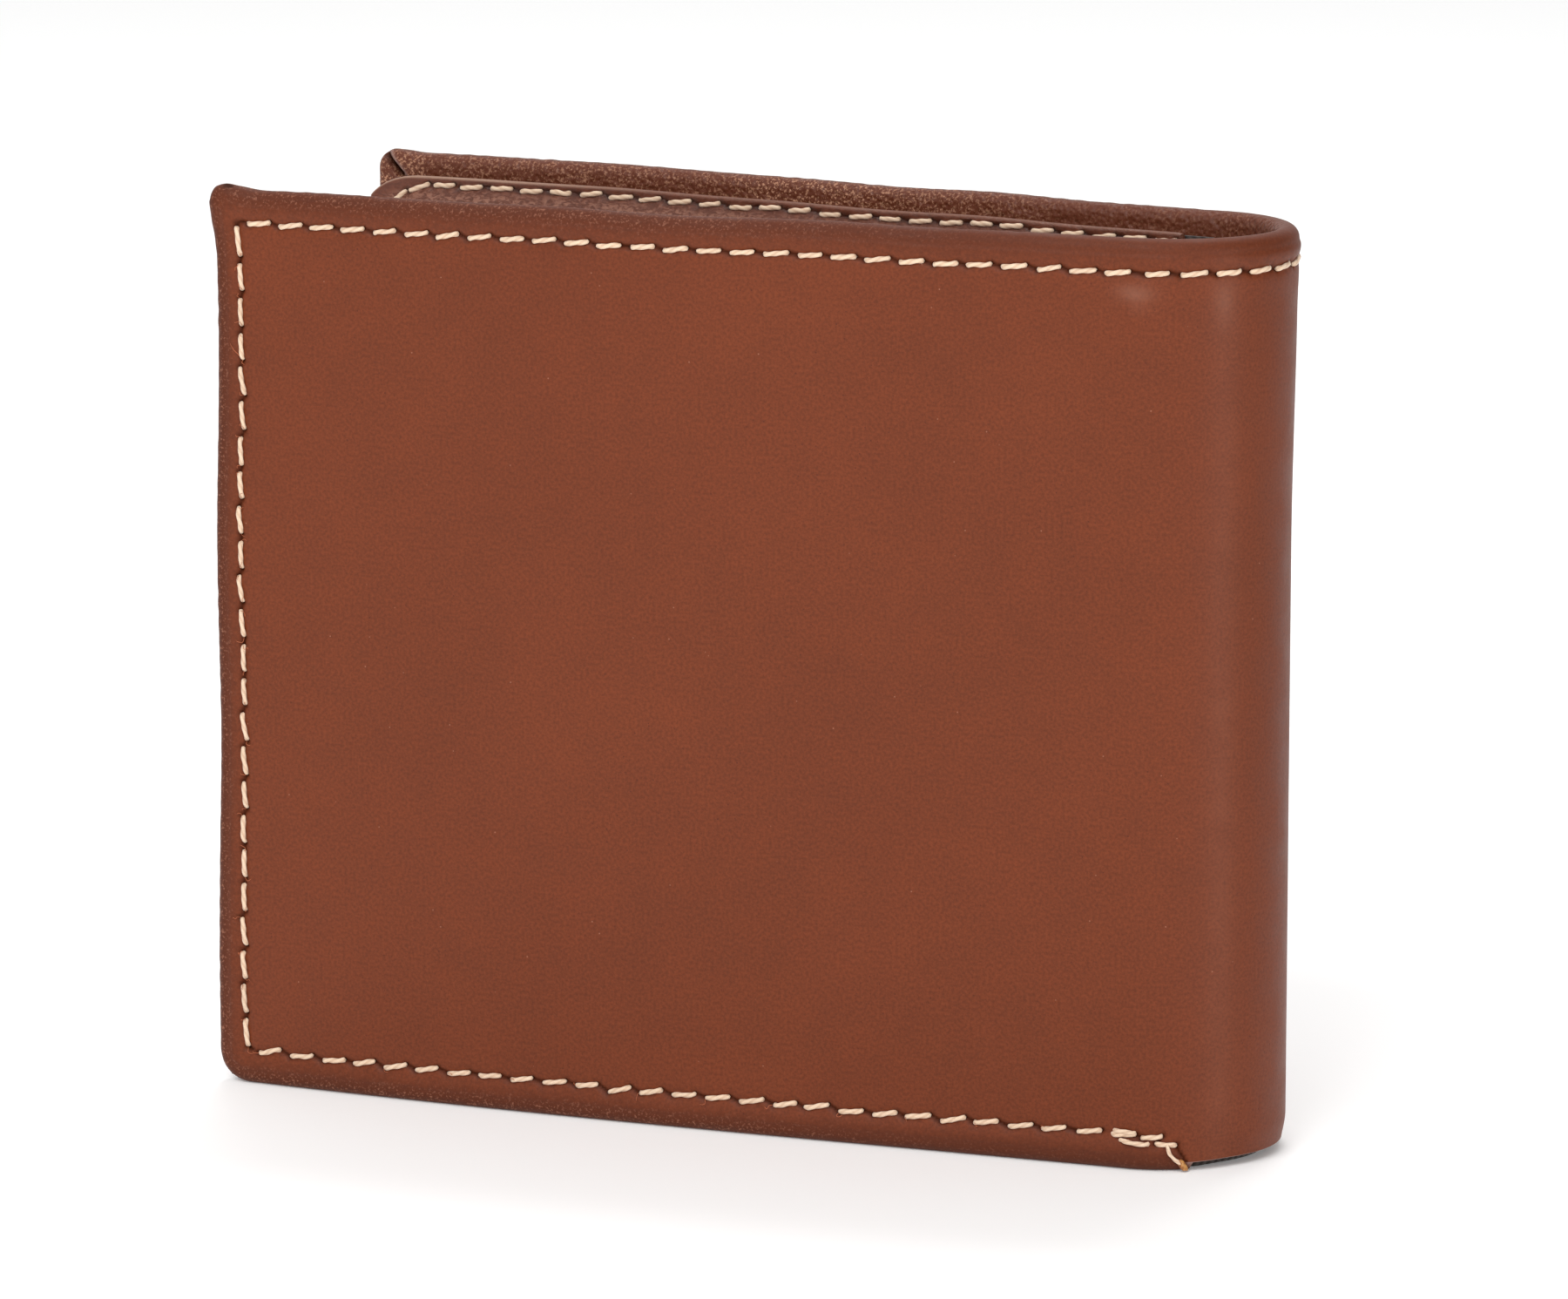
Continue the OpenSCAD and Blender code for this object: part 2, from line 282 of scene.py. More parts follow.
def slab(name, side, run, height, low, high, material, edge, steps, masks=None):
    """A closed layer over a grid of runs and heights, from depth low to depth high. Its edges are
    rounded in steps, and the grid is its flat outline drawn in by their radius."""
    low = np.broadcast_to(low, run.shape)
    high = np.broadcast_to(high, run.shape)
    index = numbered(*run.shape)
    loop = np.concatenate([index[0], index[1:, -1], index[-1, -2::-1], index[-2:0:-1, 0]])
    border = np.stack([run.ravel()[loop], height.ravel()[loop]], -1)
    ahead = np.roll(border, -1, 0) - np.roll(border, 1, 0)
    ahead /= np.maximum(np.linalg.norm(ahead, axis=1, keepdims=True), 1e-9)
    out = np.stack([ahead[:, 1], -ahead[:, 0]], -1)
    if ((border - border.mean(0)) * out).sum() < 0:
        out = -out
    angles = np.linspace(0, math.pi / 2, steps + 1)[1:]
    rings = [(a, low.ravel()[loop] + edge * (1 - math.cos(a))) for a in angles]
    rings += [(a, high.ravel()[loop] - edge * (1 - math.cos(a))) for a in angles[::-1]]
    layers = [(run.ravel(), height.ravel(), low.ravel())]
    layers += [(*(border + out * edge * math.sin(a)).T, depth) for a, depth in rings]
    layers += [(run.ravel(), height.ravel(), high.ravel())]
    all_run, all_height, all_depth = (np.concatenate(values) for values in zip(*layers))
    second = run.size + len(loop) * len(rings)
    sides = np.vstack([loop, numbered(len(rings), len(loop), run.size), loop + second])
    faces = quads(index) + quads(index + second, flip=True) + quads(closed(sides))
    masks = {key: rule(all_run, all_height, all_depth) for key, rule in (masks or {}).items()}
    return piece_at(name, side, all_run, all_depth, all_height, faces, material, masks)


# ---- Stitches ----

def stitch_row(start, end, count, tilt, length=STITCH_L, jitter=1.0):
    """Stitches as (run, height, angle, length), from the centre of the first to the last one's."""
    start, end = np.array(start), np.array(end)
    line = math.atan2(*(end - start)[::-1])
    stitches = []
    for share in np.linspace(0, 1, count):
        slip, rise, turn, extra = RNG.normal(0, (0.07, 0.05, 2.8, 0.035)) * jitter
        run, height = start + (end - start) * share + (slip, rise)
        stitches.append((run, height, line + math.radians(tilt + turn), length * (1 + extra)))
    return stitches


def stitch_ends(stitch):
    run, height, angle, length = stitch
    step = np.array([math.cos(angle), math.sin(angle)]) * length / 2
    centre = np.array([run, height])
    return centre - step, centre + step


def press(run, height, rows):
    """How deep the stitches pull the leather in, and how much painted shade their holes get, with a darker
    line between two stitches, at each point.
    """
    depth = np.zeros(run.shape)
    dark = np.zeros(run.shape)
    for row in rows:
        ends = [stitch_ends(stitch) for stitch in row]
        for k, (a, b) in enumerate(ends):
            centre = (a + b) / 2
            near = (np.abs(run - centre[0]) < PULL_REACH) & (np.abs(height - centre[1]) < PULL_REACH)
            if not near.any():
                continue
            r, h = run[near], height[near]
            pulls = [UNDER_PULL * bell(segment_distance(r, h, a, b), UNDER_W)]
            holes = [bell(np.hypot(r - p[0], h - p[1]), HOLE_R) for p in (a, b)]
            pulls += [HOLE_PULL * hole for hole in holes]
            if k + 1 < len(ends):
                gap = segment_distance(r, h, b, ends[k + 1][0])
                pulls.append(GAP_PULL * bell(gap, GAP_W))
                holes.append(GAP_TONE * bell(gap, GAP_TONE_W))
            depth[near] = np.maximum.reduce([depth[near], *pulls])
            dark[near] = np.maximum.reduce([dark[near], *holes])
    return depth, dark


def segment_distance(run, height, a, b):
    ab = b - a
    length = float(ab @ ab)
    t = np.clip(((run - a[0]) * ab[0] + (height - a[1]) * ab[1]) / max(length, 1e-9), 0, 1)
    return np.hypot(run - a[0] - t * ab[0], height - a[1] - t * ab[1])


def thread_tube(path, radius, phase, rings, sides=THREAD_SIDES, close=0.22):
    """Points round a twisted two-ply thread along a path of (run, height, depth) points, ring by
    ring, and how deep each lies between the plies."""
    path = np.asarray(path, float)
    steps = travelled(path)
    where = np.linspace(0, steps[-1], rings)
    line = np.stack([np.interp(where, steps, path[:, k]) for k in range(3)], -1)
    ahead = np.gradient(line, axis=0)
    ahead /= np.linalg.norm(ahead, axis=1, keepdims=True)
    up = np.array([0.0, 0.0, -1.0])
    across = np.cross(ahead, up)
    across /= np.maximum(np.linalg.norm(across, axis=1, keepdims=True), 1e-9)
    up = np.cross(across, ahead)
    end = np.minimum(where, steps[-1] - where) / close
    taper = np.sqrt(np.clip(1 - (1 - np.clip(end, 0, 1)) ** 2, 0.02, 1))
    angle = np.linspace(0, 2 * math.pi, sides, endpoint=False)
    twist = angle[None, :] - phase - where[:, None] * 2.5
    lobe = np.cos(twist) ** 2
    size = radius * taper[:, None] * (0.80 + 0.20 * lobe)
    grid = line[:, None, :] + size[..., None] * (
        across[:, None, :] * np.cos(angle)[None, :, None]
        + 0.86 * up[:, None, :] * np.sin(angle)[None, :, None]
    )
    return grid.reshape(-1, 3), (1 - lobe).ravel()


def stitch_path(stitch, face, sink):
    """A stitch's centre line: it rises out of one needle hole and dives into the next."""
    a, b = stitch_ends(stitch)
    sideways = np.array([-(b - a)[1], (b - a)[0]]) / stitch[3]
    sway = RNG.normal(0, 0.03)
    t = np.linspace(-1, 1, 13)
    wave = np.sin(math.pi * t)
    run, height = (a + b)[:, None] / 2 + np.outer(b - a, t) / 2 + np.outer(sideways, sway * wave)
    depth = face(run, height) + sink * (0.06 + 0.36 * abs(t) ** 7 - 0.05 * (1 - t * t))
    return np.stack([run, height, depth], -1)


def stitching(name, side, rows, face=lambda run, height: 0.0, sink=1.0, extra=()):
    """One object of all the stitches of some rows. Sink is -1 on the inner side of a cover."""
    points, grooves, faces = [], [], []
    threads = [(stitch_path(s, face, sink), THREAD_R, STITCH_RINGS) for row in rows for s in row]
    threads += [(path, radius, TAIL_RINGS) for path, radius in extra]
    for path, radius, rings in threads:
        radius = radius * RNG.uniform(0.94, 1.05)
        grid, groove = thread_tube(path, radius, RNG.uniform(0, 6.28), rings)
        faces += tube_faces(rings, THREAD_SIDES, sum(map(len, points)))
        points.append(grid)
        grooves.append(groove)
    run, height, depth = np.concatenate(points).T
    masks = {"groove": np.concatenate(grooves)}
    return piece_at(name, side, run, depth, height, faces, THREAD, masks, sharp=None)


# ---- Materials ----

def colour(*levels):
    """A colour given as it looks on a screen, from 0 to 255, in linear values."""
    c = np.array(levels) / 255
    return (*np.where(c <= 0.04045, c / 12.92, ((c + 0.055) / 1.055) ** 2.4), 1.0)


def new_node(tree, kind, inputs=None, **settings):
    """A shader node with its settings, and its inputs linked or set by their names or numbers."""
    node = tree.nodes.new("ShaderNode" + kind)
    for key, value in settings.items():
        setattr(node, key, value)
    for key, value in (inputs or {}).items():
        if isinstance(value, bpy.types.NodeSocket):
            tree.links.new(value, node.inputs[key])
        else:
            node.inputs[key].default_value = value
    return node


class Look:
    """A material's node tree, built by short calls."""

    def __init__(self, name):
        self.material = bpy.data.materials.new(name)
        self.material.use_nodes = True
        self.material.node_tree.nodes.clear()
        self.lay = self.attribute("lay", vector=True)

    def node(self, kind, inputs=None, **settings):
        return new_node(self.material.node_tree, kind, inputs, **settings)

    def done(self, **values):
        """The material, with these values and sockets in its shader."""
        values = {key.replace("_", " "): value for key, value in values.items()}
        self.node("OutputMaterial", {0: self.node("BsdfPrincipled", values).outputs[0]})
        return self.material

    def attribute(self, name, vector=False):
        return self.node("Attribute", attribute_name=name).outputs["Vector" if vector else "Fac"]

    def stretch(self, scale):
        """The place on the leather or cloth, scaled along its run, height and depth."""
        return self.node("VectorMath", {0: self.lay, 1: scale}, operation="MULTIPLY").outputs[0]

    def noise(self, size, detail, roughness=0.55, distortion=0.0, at=None):
        """Soft noise whose patches are about size millimetres across."""
        shape = {"Scale": 1 / size, "Detail": detail, "Roughness": roughness, "Distortion": distortion}
        return self.node("TexNoise", {"Vector": at or self.lay, **shape}).outputs["Fac"]

    def cells(self, size, feature="F1"):
        inputs = {"Vector": self.lay, "Scale": 1 / size}
        return self.node("TexVoronoi", inputs, feature=feature).outputs["Distance"]

    def remap(self, value, low, high, to_low=0.0, to_high=1.0):
        limits = {"From Min": low, "From Max": high, "To Min": to_low, "To Max": to_high}
        node = self.node("MapRange", {"Value": value, **limits}, interpolation_type="SMOOTHSTEP")
        return node.outputs["Result"]

    def math(self, operation, a, b):
        return self.node("Math", {0: a, 1: b}, operation=operation).outputs[0]

    def times(self, a, b):
        return self.math("MULTIPLY", a, b)

    def mix(self, share, a, b):
        """Colour a where share is 0, and b where it is 1."""
        return self.node("Mix", {0: share, 6: a, 7: b}, data_type="RGBA").outputs[2]

    def lit(self, tint, value, spread):
        """The tint made lighter and darker by a value around one half."""
        value = self.remap(value, 0.2, 0.8, 1 - spread, 1 + spread)
        return self.node("HueSaturation", {"Value": value, "Color": tint}).outputs[0]

    def bump(self, height, depth, before=None):
        """Relief whose full height is depth millimetres."""
        inputs = {"Strength": 1.0, "Distance": depth * MM, "Height": height}
        if before is not None:
            inputs["Normal"] = before
        return self.node("Bump", inputs).outputs[0]


def outer_leather():
    """Smooth brown leather: fine grain and pores on the face, pebbled where the hem is turned in, with
    painted highlight specks there; darker along the rims, partly its own edge tone and partly painted shade,
    with lighter specks that are partly wear and partly painted highlight; painted highlight patches round
    the bend; and painted shade in the needle holes, folds and cut slits."""
    look = Look("outer_leather")
    rim, inside, pit, raw, scuff_and_highlight, glint_and_wear = map(
        look.attribute, ("rim", "inside", "pit", "raw", "scuff_and_highlight", "glint_and_wear")
    )
    cloud = look.noise(26, 3)
    mottle = look.noise(4.0, 4, 0.6)
    grain = look.noise(0.32, 4, 0.65)
    pebble_tone = look.noise(0.28, 3, 0.7)
    tint = look.lit(colour(109, 51, 26), cloud, 0.06)
    tint = look.lit(tint, mottle, 0.05)
    tint = look.lit(tint, grain, 0.25)
    many = look.remap(look.noise(22, 2), 0.42, 0.62, 0.25, 1.0)
    dot = look.times(look.remap(look.cells(0.85), 0.05, 0.13, 1.0, 0.0), many)
    tint = look.mix(look.times(dot, 0.6), tint, colour(72, 30, 17))
    bright = look.remap(look.cells(2.6), 0.018, 0.035, 1.0, 0.0)
    tint = look.mix(look.times(bright, 0.5), tint, colour(176, 122, 98))
    # The turned-in hem is darker, and its grain has painted highlight specks
    glint_patches = look.times(look.remap(cloud, 0.42, 0.58, 0.5, 1.0), glint_and_wear)
    glints = look.times(look.remap(pebble_tone, 0.51, 0.62), glint_patches)
    hem = look.mix(glints, colour(96, 46, 26), colour(190, 140, 110))
    tint = look.mix(inside, tint, hem)
    # The rims are darker: partly the leather's own edge tone, partly painted shade
    tint = look.mix(look.times(rim, 0.8), tint, look.mix(inside, colour(76, 33, 14), hem))
    # Lighter specks on the rims' crest: partly edge wear, partly painted highlight
    wear_and_glint = look.times(look.math("POWER", rim, 1.8), look.remap(pebble_tone, 0.52, 0.68))
    tint = look.mix(look.times(wear_and_glint, glint_and_wear), tint, colour(150, 98, 76))
    # Painted highlight patches under the top seam and a soft painted highlight band down the bend
    scuff_and_highlight = look.times(scuff_and_highlight, look.remap(mottle, 0.3, 0.7, 0.4, 1.0))
    tint = look.mix(scuff_and_highlight, tint, colour(168, 124, 106))
    tint = look.mix(raw, tint, colour(168, 140, 132))
    # Near-black painted shade in the needle holes, folds and cut slits, and a darker line between stitches
    tint = look.mix(pit, tint, colour(30, 9, 4))
    roughness = look.remap(mottle, 0.2, 0.8, 0.44, 0.56)
    roughness = look.math("ADD", roughness, look.times(rim, 0.10))
    relief = look.bump(look.noise(3.2, 2), 0.05)
    relief = look.bump(grain, 0.016, relief)
    relief = look.bump(look.times(dot, -1.0), 0.012, relief)
    pebbles = look.times(look.math("ADD", inside, 0.04), look.cells(0.46, "SMOOTH_F1"))
    relief = look.bump(pebbles, 0.18, relief)
    gloss = look.times(look.remap(inside, 0.0, 1.0, 0.2, 0.28), look.math("SUBTRACT", 1.0, pit))
    return look.done(Base_Color=tint, Roughness=roughness, Normal=relief, Specular_IOR_Level=gloss)


def inner_leather():
    """Thinner, darker leather, finely creased, with a pale raw edge, painted highlight on the creases below
    the panel's seam, and painted shade in the needle holes.
    """
    look = Look("inner_leather")
    raw, pit = look.attribute("raw"), look.attribute("pit")
    creases = look.noise(0.45, 4, 0.62, 0.6, look.stretch((0.7, 1.4, 1.0)))
    mottle = look.noise(7, 4, 0.6)
    tint = look.lit(colour(101, 53, 35), mottle, 0.10)
    tint = look.lit(tint, creases, 0.26)
    # Lighter crease tops: painted highlight below the panel's seam, and lighter pocket lips
    crease_highlight = look.times(look.remap(creases, 0.42, 0.62), look.attribute("scuff_and_highlight"))
    tint = look.mix(crease_highlight, tint, colour(158, 112, 92))
    tint = look.mix(raw, tint, colour(158, 124, 104))
    # Painted shade in the needle holes, and the pockets' burnished line
    tint = look.mix(pit, tint, colour(40, 17, 11))
    relief = look.bump(creases, 0.12)
    relief = look.bump(look.cells(0.4, "SMOOTH_F1"), 0.03, relief)
    sheen = {"Sheen_Weight": 0.04, "Sheen_Roughness": 0.4, "Sheen_Tint": colour(200, 180, 170)}
    return look.done(Base_Color=tint, Roughness=0.44, Normal=relief, Specular_IOR_Level=0.36, **sheen)


def lining_cloth():
    """Plain dark lining with a fine twill weave."""
    look = Look("lining_cloth")
    ribs = {"Vector": look.stretch((1.0, 1.0, 0.0)), "Scale": 0.62, "Distortion": 0.8, "Detail": 2.0}
    twill = look.node("TexWave", ribs, bands_direction="DIAGONAL").outputs["Fac"]
    slub = look.noise(0.7, 3, at=look.stretch((0.12, 2.5, 1.0)))
    tint = look.mix(twill, colour(44, 38, 36), colour(74, 66, 62))
    tint = look.lit(tint, slub, 0.16)
    relief = look.bump(twill, 0.05)
    relief = look.bump(slub, 0.03, relief)
    sheen = {"Sheen_Weight": 0.3, "Sheen_Roughness": 0.5}
    return look.done(Base_Color=tint, Roughness=0.82, Normal=relief, Specular_IOR_Level=0.2, **sheen)


def fibre_board():
    look = Look("fibre_board")
    fibres = look.noise(0.8, 5, 0.7, at=look.stretch((0.3, 1.6, 1.0)))
    tint = look.mix(look.remap(fibres, 0.35, 0.65), colour(150, 130, 104), colour(182, 162, 134))
    return look.done(Base_Color=tint, Roughness=0.9, Specular_IOR_Level=0.2)


def thread():
    """Waxed cream thread, with painted shade between its two plies."""
    look = Look("cream_thread")
    groove = look.attribute("groove")
    fuzz = look.noise(0.16, 3, 0.6, at=look.stretch((0.5, 2.0, 2.0)))
    tint = look.mix(look.remap(groove, 0.4, 1.0, 0.0, 0.7), colour(228, 200, 172), colour(204, 168, 138))
    tint = look.lit(tint, fuzz, 0.10)
    tint = look.lit(tint, look.noise(5, 2), 0.06)
    sheen = {"Sheen_Weight": 0.2, "Sheen_Roughness": 0.5}
    return look.done(Base_Color=tint, Roughness=0.55, Specular_IOR_Level=0.4, **sheen)


def melted_thread():
    """The thread's end, melted to an amber bead."""
    look = Look("melted_thread")
    blot = look.noise(0.5, 3)
    tint = look.mix(look.remap(blot, 0.35, 0.65), colour(140, 78, 30), colour(202, 146, 82))
    return look.done(Base_Color=tint, Roughness=0.28)


def frayed_fibre():
    look = Look("frayed_fibre")
    return look.done(Base_Color=look.lit(colour(176, 96, 58), look.noise(3, 2), 0.3), Roughness=0.6)


def studio_floor():
    look = Look("studio_floor")
    cloud = look.noise(1.5, 2, at=look.node("TexCoord").outputs["Object"])
    tint = look.mix(look.remap(cloud, 0.3, 0.7), colour(246, 246, 246), colour(249, 249, 248))
    glow = {"Emission_Color": (1.0, 1.0, 1.0, 1.0), "Emission_Strength": 0.12}
    return look.done(Base_Color=tint, Roughness=0.9, Specular_IOR_Level=0.1, **glow)


OUTER = outer_leather()
INNER = inner_leather()
LINING = lining_cloth()
BOARD_LOOK = fibre_board()
THREAD = thread()
BEAD = melted_thread()
FIBRE = frayed_fibre()

# ---- Where the stitches are ----

def outer_rows(side):
    """The seams on a cover's flat part: along the top, down the free edge and along the bottom."""
    last = 1.2 if side == "front" else SPINE_PITCH - 0.9
    count = 27 if side == "front" else 26
    top = stitch_row((91.2, TOP_SEAM), (last, TOP_SEAM), count, -7.0, jitter=0.75)
    free = stitch_row((SIDE_SEAM, 84.9), (SIDE_SEAM - 0.1, 5.2), 24, -5.5, 2.75)
    foot = stitch_row((90.8, BOTTOM_SEAM), (3.5, BOTTOM_SEAM), 26, -9.0)
    return top, free, foot


def spine_row():
    """The top seam round the bend, as runs counted from the front cover's end of it."""
    count = int((ARC - SPINE_FIRST) / SPINE_PITCH) + 1
    last = -SPINE_FIRST - (count - 1) * SPINE_PITCH
    return stitch_row((-SPINE_FIRST, TOP_SEAM), (last, TOP_SEAM), count, -7.0)


def tack_row():
    """The bottom seam's end, sewn back and forth just past the start of the bend."""
    first = (-0.05, BOTTOM_SEAM + 0.05, math.radians(178), 2.5)
    second = (-2.85, BOTTOM_SEAM - 0.1, math.radians(174), 2.1)
    knot = (-4.25, BOTTOM_SEAM - 0.8, math.radians(184), 2.1)
    return [first, second, knot]


COVER_ROWS = {side: outer_rows(side) for side in SIDES}
SPINE_STITCHES = spine_row()
TACK = tack_row()


def mirrored(rows):
    """Stitches near the front end of the bend, moved to its back end."""
    return [(-ARC - run, height, math.pi - angle, length) for run, height, angle, length in rows]


SPINE_ROWS = (list(COVER_ROWS["front"][0][-1:]) + SPINE_STITCHES, TACK, mirrored(TACK))

# ---- Outer leather ----

def corner_distance(angle, inset, corner_r):
    """Distance from the inner corner of a cover's corner zone to its outline, drawn in by inset."""
    half = HEM_W - inset
    radius = max(corner_r - inset, 0.0)
    straight = half - radius
    c, s = np.cos(angle), np.sin(angle)
    flat = half / np.maximum(c, s)
    along = flat * np.minimum(c, s)
    b = straight * (c + s)
    arc = b + np.sqrt(np.maximum(radius ** 2 - 2 * straight ** 2 + b ** 2, 0))
    return np.where(along > straight, arc, flat)


def corner_angles(step):
    """Angles across a corner zone that divide the outline into equal steps."""
    dense = np.linspace(0, math.pi / 2, 721)
    away = corner_distance(dense, 0.0, UPPER_CORNER_R)
    length = travelled(np.stack([away * np.cos(dense), away * np.sin(dense)], -1))
    count = int(round(length[-1] / step))
    return np.interp(np.linspace(0, length[-1], count + 1), length, dense)


COARSE = 4
STEP = 0.3
LONG_STEPS = COARSE * round((COVER_L - HEM_W) / STEP / COARSE)
TALL_STEPS = COARSE * round((COVER_H - 2 * HEM_W) / STEP / COARSE)
FAN = corner_angles(STEP)


def edge_path(inset):
    """Runs and heights round a cover's three edges, drawn in by inset, from the foot of the spine
    along the bottom, up the free edge and back along the top."""
    inner = COVER_L - HEM_W
    lower = corner_distance(FAN, inset, LOWER_CORNER_R)
    upper = corner_distance(FAN, inset, UPPER_CORNER_R)
    along = np.linspace(0, inner, LONG_STEPS + 1)
    up = np.linspace(HEM_W, COVER_H - HEM_W, TALL_STEPS + 1)
    run = [along, (inner + lower * np.sin(FAN))[1:-1], np.full(len(up), COVER_L - inset)]
    run += [(inner + upper * np.cos(FAN))[1:-1], along[::-1]]
    height = [np.full(len(along), inset), (HEM_W - lower * np.cos(FAN))[1:-1], up]
    height += [(COVER_H - HEM_W + upper * np.sin(FAN))[1:-1], np.full(len(along), COVER_H - inset)]
    return np.concatenate(run), np.concatenate(height)


# The round of the rolled rim, as (inset, depth) rows from the face to the hem
RIM_TURN = np.linspace(0, math.pi, 15)
RIM_ROUND = [(RIM_R * (1 - math.sin(a)), RIM_R * (1 - math.cos(a))) for a in RIM_TURN]


def rolled_profile():
    """The folded edge as (inset, depth) rows: the face, the round rim, the hem and its cut edge."""
    rows = [(d, 0.0) for d in np.arange(HEM_W, 5.0, -0.5)]
    rows += [(d, 0.0) for d in np.arange(5.0, RIM_R + 0.05, -0.18)]
    rows += RIM_ROUND
    rows += [(d, COVER_T) for d in np.arange(RIM_R + 0.25, 4.6, 0.25)]
    rows += [(d, COVER_T) for d in np.arange(5.1, HEM_W - 0.1, 0.78)]
    rows += [(HEM_W - 0.04, COVER_T), (HEM_W, COVER_T - 0.06), (HEM_W, LEATHER + 0.06), (HEM_W, LEATHER)]
    return rows


def rim_mask(inset, depth):
    """1 on the outermost line of the rim, and 0 on the flat face and hem."""
    return smooth((3.3 - inset) / 2.9) * smooth((COVER_T - depth) / 0.8)


def top_rim(run):
    """How strongly the rim's darker colour, partly its own tone and partly painted shade, shows along the
    top: least round the bend.
    """
    return 0.6 + 0.25 * smooth(run / 25)


def glint_and_wear_share(run):
    """How strongly the painted highlight specks on the hems show, and the lighter specks on the rims (partly
    wear, partly painted highlight): least towards the spine.
    """
    return 0.2 + 0.7 * smooth((run - 8) / 45)


def seam_swell(inset):
    """The leather swells a little between the seam and the rim, and sinks along the seam itself."""
    swell = 0.16 * bell(inset - 1.9, 0.9) - 0.06 * bell(inset - 3.2, 0.8)
    return swell * smooth((inset - RIM_R + 0.01) / 0.6)


def slit(run, height):
    """A short cut across each corner of the hem, where the leather is folded over itself."""
    depth = np.zeros(run.shape)
    pale = np.zeros(run.shape)
    for base, sign in ((COVER_H, -1), (0.0, 1)):
        a = np.array([COVER_L - 1.2, base + sign * 0.7])
        b = np.array([COVER_L - 3.0, base + sign * 2.4])
        away = segment_distance(run, height, a, b)
        depth = np.maximum(depth, bell(away, 0.32))
        beside = segment_distance(run, height, a - [0.42, sign * 0.25], b - [0.32, sign * 0.2])
        pale = np.maximum(pale, bell(beside, 0.22))
    return depth, pale


# Folds and holes at the top rim's mitred corner, each between two points that are given as
# distances in from the free edge and down from the top
PUCKERS = (
    ((1.9, 0.15), (2.5, 0.1)),
    ((0.5, 0.9), (0.2, 1.6)),
    ((3.75, 3.2), (3.05, 3.35)),
    ((3.2, COVER_H - 3.75), (3.75, COVER_H - 3.55)),
)


def puckered(run, height, depth, pit):
    """Depths and painted hole shade, with the folded corner's puckers and their painted shade added to them.
    """
    for ends in PUCKERS:
        a, b = (np.array([COVER_L - inward, COVER_H - down]) for inward, down in ends)
        pucker = bell(segment_distance(run, height, a, b), 0.22) * (depth < RIM_R)
        depth = depth + 0.22 * pucker
        pit = np.maximum(pit, 0.8 * pucker)
    return depth, pit


def cover_leather(side):
    """One cover's leather: the face, the rolled rim and the hem, open to the board inside."""
    profile = rolled_profile()
    rows = len(profile)
    run, height = map(np.array, zip(*(edge_path(d) for d, _ in profile)))
    columns = run.shape[1]
    inset, depth = (np.repeat(values[:, None], columns, 1) for values in np.array(profile).T)
    face = depth < 1e-6
    pressed, pit = press(run, height, COVER_ROWS[side])
    tacked = segment_distance(run, height, *stitch_ends(TACK[0]))
    pressed = np.maximum(pressed, UNDER_PULL * bell(tacked, UNDER_W))
    depth = depth + np.where(face, pressed - seam_swell(inset), 0.0)
    depth, pit = puckered(run, height, depth, pit)
    hem = (depth > RIM_R) & (inset < HEM_W - 0.1) & ~face
    cut, pale = slit(run, height)
    hem_wave = ripples(21, 7)(run, height) * 0.06
    depth = depth + np.where(hem, hem_wave * smooth((inset - 1.0) / 1.0) - 0.8 * cut, 0.0)
    masks = {
        "rim": rim_mask(inset, depth) * np.where(height > COVER_H - 4, top_rim(run), 1.0),
        "inside": smooth((depth - 0.9) / 1.0) * ~face,
        # In the hem this is painted shade in the cut slits; on the face, painted shade in needle holes and
        # folds
        "pit": np.where(hem, cut, pit),
        "raw": np.where(hem, 0.85 * pale * (1 - cut), 0.0),
        "scuff_and_highlight": np.where(face, bend_highlights(run, height), 0.0),
        "glint_and_wear": glint_and_wear_share(run),
    }
    across, tall = LONG_STEPS // COARSE, TALL_STEPS // COARSE
    inner_run = np.linspace(0, COVER_L - HEM_W, across + 1)
    inner_height = np.linspace(HEM_W, COVER_H - HEM_W, tall + 1)
    grid_run, grid_height = np.meshgrid(inner_run, inner_height)
    faces = quads(numbered(rows, columns)) + middle_faces(rows, columns, across, tall)
    flat = np.zeros(grid_run.size)
    run = np.concatenate([run.ravel(), grid_run.ravel(), grid_run.ravel()])
    height = np.concatenate([height.ravel(), grid_height.ravel(), grid_height.ravel()])
    depth = np.concatenate([depth.ravel(), flat, flat + LEATHER])
    masks = {key: np.concatenate([v.ravel(), flat, flat]) for key, v in masks.items()}
    masks["inside"][-grid_run.size:] = 1.0
    name = side + "_cover_leather_shell"
    return piece_at(name, side, run, depth, height, faces, OUTER, masks)


def middle_faces(rows, columns, across, tall):
    """Coarser cells in the middle of the face and of the inner side, behind the hem, and the face
    along the spine that closes the leather."""
    first = rows * columns
    second = first + (across + 1) * (tall + 1)
    faces = middle_cells(0, columns, first, across, tall)
    faces += middle_cells((rows - 1) * columns, columns, second, across, tall)
    upward = np.arange(1, tall) * (across + 1)
    ring = numbered(rows, columns)
    end = [ring[0, :1], first + upward, ring[:, -1], (second + upward)[::-1], ring[:0:-1, 0]]
    return faces + [np.concatenate(end).tolist()]


def middle_cells(ring, columns, start, across, tall):
    """Faces of the coarse middle, whose outer cells take up the finer points of the edge path."""
    corner = LONG_STEPS + len(FAN) - 1

    def node(i, j):
        if j == 0:
            return ring + i * COARSE
        if i == across:
            return ring + corner + j * COARSE
        if j == tall:
            return ring + columns - 1 - i * COARSE
        return start + j * (across + 1) + i

    def chain(first, last, edge):
        return list(range(first, last)) if edge else [first]

    faces = []
    for j in range(tall):
        for i in range(across):
            a, b, c, d = node(i, j), node(i + 1, j), node(i + 1, j + 1), node(i, j + 1)
            cell = chain(a, b, j == 0) + chain(b, c, i + 1 == across) + chain(c, d, j + 1 == tall)
            faces.append((*cell, d))
    return faces


